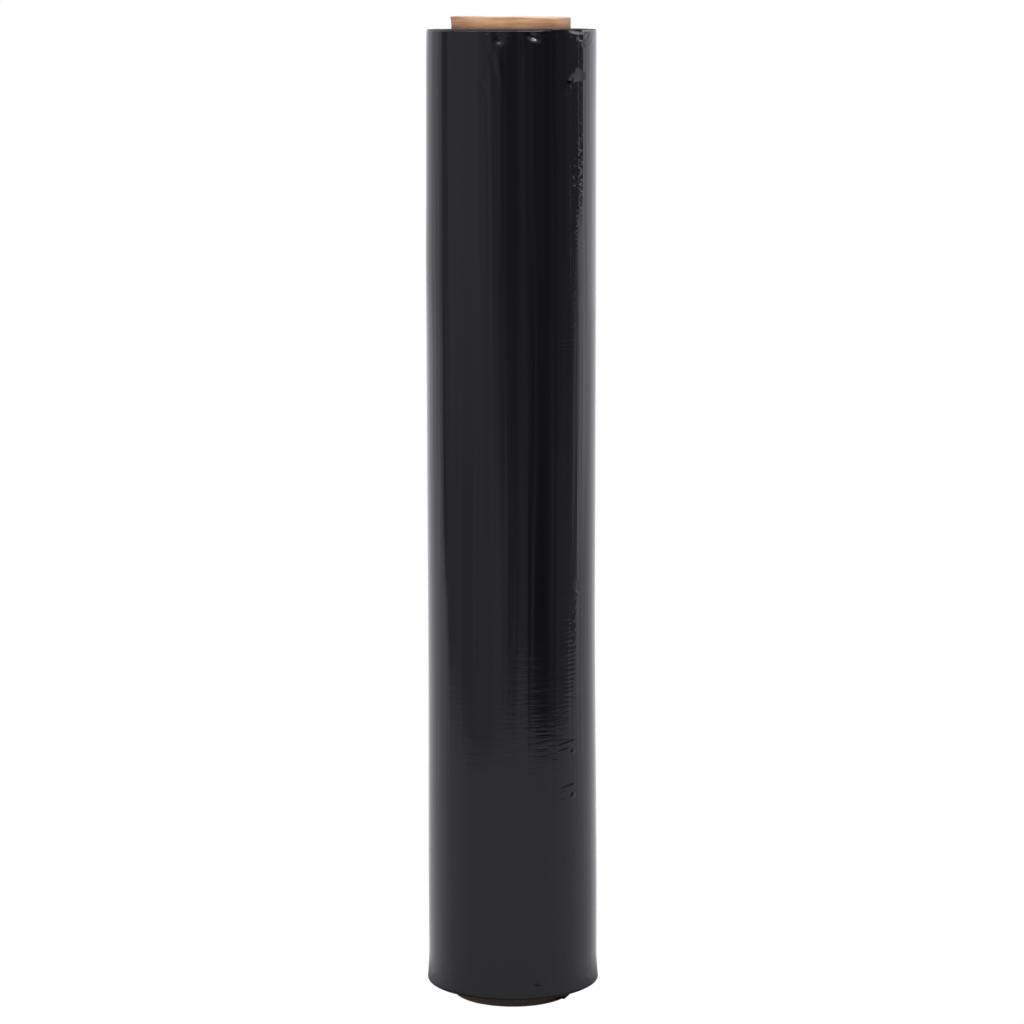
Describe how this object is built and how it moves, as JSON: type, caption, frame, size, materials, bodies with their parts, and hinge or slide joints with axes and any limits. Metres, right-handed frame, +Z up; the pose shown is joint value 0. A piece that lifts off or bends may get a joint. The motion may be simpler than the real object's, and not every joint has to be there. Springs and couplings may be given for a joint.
{
  "type": "stretch wrap roll",
  "caption": "Roll of black stretch film wound tight on a paper tube whose ends stand proud, for binding pallet loads and parcels by hand or from a dispenser.",
  "frame": {"origin": "on the roll's axis, in the plane of the paper tube's lower cut end, which it stands on", "axes": "+Z up along the roll's axis, -Y towards the viewer who sees the film's loose edge on the right"},
  "size_m": [0.0898, 0.0896, 0.514],
  "materials": {
    "kraft_board": "brown kraft paper, spiral wound and glued, matte with fine fibre lines and knife-cut ends",
    "black_film": "near-black polyethylene film, glossy, with fine lengthwise ridges, small air bubbles and turned-over edges"
  },
  "bodies": {
    "root": {"paper_core": "kraft_board", "film_winding": "black_film"}
  },
  "joints": []
}
